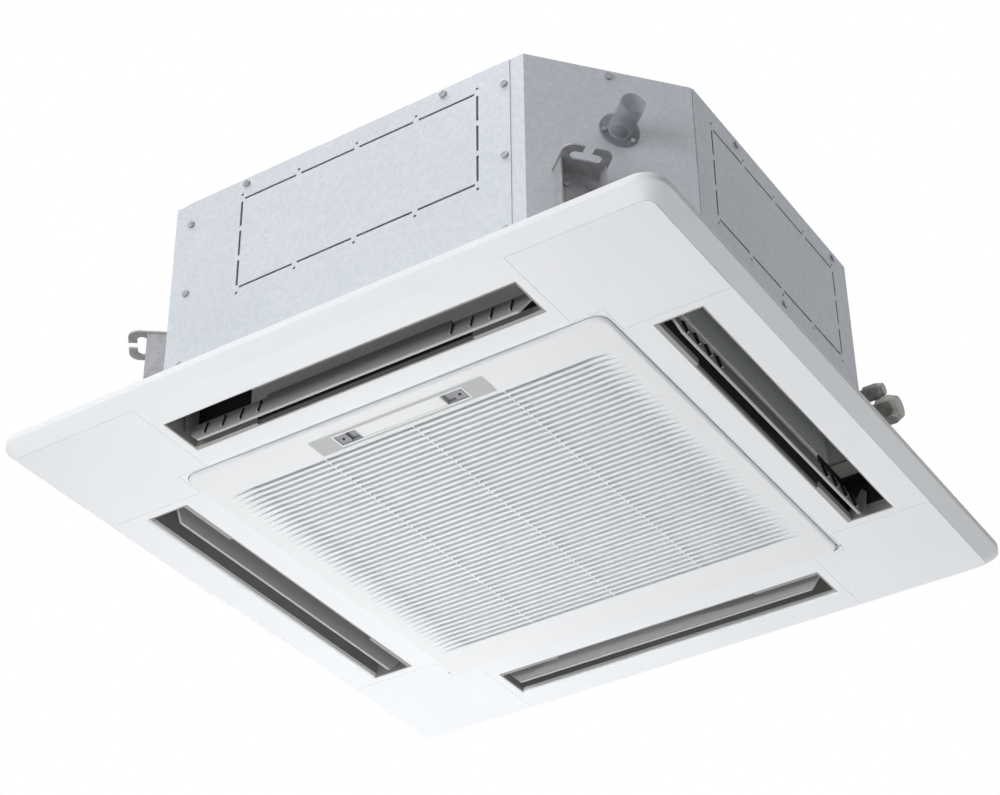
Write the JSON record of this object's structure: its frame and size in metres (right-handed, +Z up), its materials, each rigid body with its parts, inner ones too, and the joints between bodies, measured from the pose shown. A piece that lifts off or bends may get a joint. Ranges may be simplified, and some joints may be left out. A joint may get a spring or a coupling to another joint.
{
  "type": "ceiling cassette fan coil unit",
  "caption": "Ceiling cassette fan coil unit: faceted galvanised casing on slotted hooks, square white panel, drop-down slatted intake grille, swinging flaps in the air outlets.",
  "frame": {"origin": "on the panel's middle axis, at the underside of the four hook plates", "axes": "+Z up, -Y towards the side with the grille's two latches, +X towards the side with the pipe unions"},
  "size_m": [0.95, 0.95, 0.3715],
  "materials": {
    "galvanised_steel": "hot-dip galvanised sheet with a fine spangle",
    "screw_steel": "zinc plated",
    "bracket_steel": "dark zinc plated",
    "white_foam": "moulded foam",
    "aluminium_fins": "thin close fins",
    "copper_tube": "drawn copper",
    "plated_brass": "dull plated brass",
    "grey_plastic": "moulded, matt",
    "shaft_steel": "ground",
    "motor_paint": "dark paint",
    "black_rubber": "moulded rubber",
    "clear_plastic": "clear and glossy",
    "board_green": "varnished board",
    "terminal_plastic": "moulded",
    "white_plastic": "white, finely grained",
    "dark_plastic": "dark grey, matt",
    "flap_plastic": "dark grey, satin",
    "filter_net": "fine net in a moulded frame",
    "strip_plastic": "pale grey, satin",
    "latch_plastic": "grey, matt"
  },
  "bodies": {
    "unit": {"top_plate": "galvanised_steel", "front_side_sheet": "galvanised_steel", "right_side_sheet": "galvanised_steel", "back_side_sheet": "galvanised_steel", "left_side_sheet": "galvanised_steel", "corner_sheet_front_right": "galvanised_steel", "corner_sheet_back_right": "galvanised_steel", "corner_sheet_back_left": "galvanised_steel", "corner_sheet_front_left": "galvanised_steel", "casing_screws": "screw_steel", "hanger_screws": "screw_steel", "socket_screws": "screw_steel", "motor_bolts": "screw_steel", "panel_bolts": "screw_steel", "hinge_pins": "screw_steel", "hanger_bracket_front_right": "bracket_steel", "hanger_bracket_back_right": "bracket_steel", "hanger_bracket_back_left": "bracket_steel", "hanger_bracket_front_left": "bracket_steel", "foam_lining": "white_foam", "drain_pan": "white_foam", "coil_fins": "aluminium_fins", "coil_bends": "copper_tube", "supply_pipe": "copper_tube", "return_pipe": "copper_tube", "supply_nut": "plated_brass", "return_nut": "plated_brass", "bell_mouth": "grey_plastic", "fan_motor": "motor_paint", "motor_bushes": "black_rubber", "drain_pump": "grey_plastic", "drain_hose": "black_rubber", "drain_socket": "clear_plastic", "control_box": "galvanised_steel", "control_box_cover": "galvanised_steel", "control_board": "board_green", "terminal_block": "terminal_plastic", "panel_frame": "white_plastic", "corner_cover_front_right": "white_plastic", "corner_cover_back_right": "white_plastic", "corner_cover_back_left": "white_plastic", "corner_cover_front_left": "white_plastic", "outlet_liner_front": "dark_plastic", "outlet_liner_right": "dark_plastic", "outlet_liner_back": "dark_plastic", "outlet_liner_left": "dark_plastic", "flap_motors": "motor_paint"},
    "fan": {"turbo_fan": "grey_plastic", "motor_shaft": "shaft_steel", "fan_nut": "shaft_steel"},
    "flap_front": {"flap_front": "flap_plastic"},
    "flap_right": {"flap_right": "flap_plastic"},
    "flap_back": {"flap_back": "flap_plastic"},
    "flap_left": {"flap_left": "flap_plastic"},
    "grille": {"intake_grille": "white_plastic", "air_filter": "filter_net", "latch_strip": "strip_plastic"},
    "latch_left": {"latch_left": "latch_plastic"},
    "latch_right": {"latch_right": "latch_plastic"}
  },
  "joints": [
    {"name": "fan_spin", "type": "hinge", "parent": "unit", "child": "fan", "pos_m": [0, 0, 0.05], "axis": [0, 0, 1], "continuous": true},
    {"name": "flap_front_swing", "type": "hinge", "parent": "unit", "child": "flap_front", "pos_m": [0, -0.372, -0.146], "axis": [-1, 0, 0], "range_deg": [-8, 46]},
    {"name": "flap_right_swing", "type": "hinge", "parent": "unit", "child": "flap_right", "pos_m": [0.372, 0, -0.146], "axis": [0, -1, 0], "range_deg": [-8, 46]},
    {"name": "flap_back_swing", "type": "hinge", "parent": "unit", "child": "flap_back", "pos_m": [0, 0.372, -0.146], "axis": [1, 0, 0], "range_deg": [-8, 46]},
    {"name": "flap_left_swing", "type": "hinge", "parent": "unit", "child": "flap_left", "pos_m": [-0.372, 0, -0.146], "axis": [0, 1, 0], "range_deg": [-8, 46]},
    {"name": "grille_drop", "type": "hinge", "parent": "unit", "child": "grille", "pos_m": [0, 0.301, -0.178], "axis": [1, 0, 0], "range_deg": [0, 85]},
    {"name": "latch_left_slide", "type": "slide", "parent": "grille", "child": "latch_left", "axis": [1, 0, 0], "range_m": [0, 0.012], "stiffness_N_per_m": 150, "springref_m": -0.004},
    {"name": "latch_right_slide", "type": "slide", "parent": "grille", "child": "latch_right", "axis": [-1, 0, 0], "range_m": [0, 0.012], "stiffness_N_per_m": 150, "springref_m": -0.004}
  ]
}
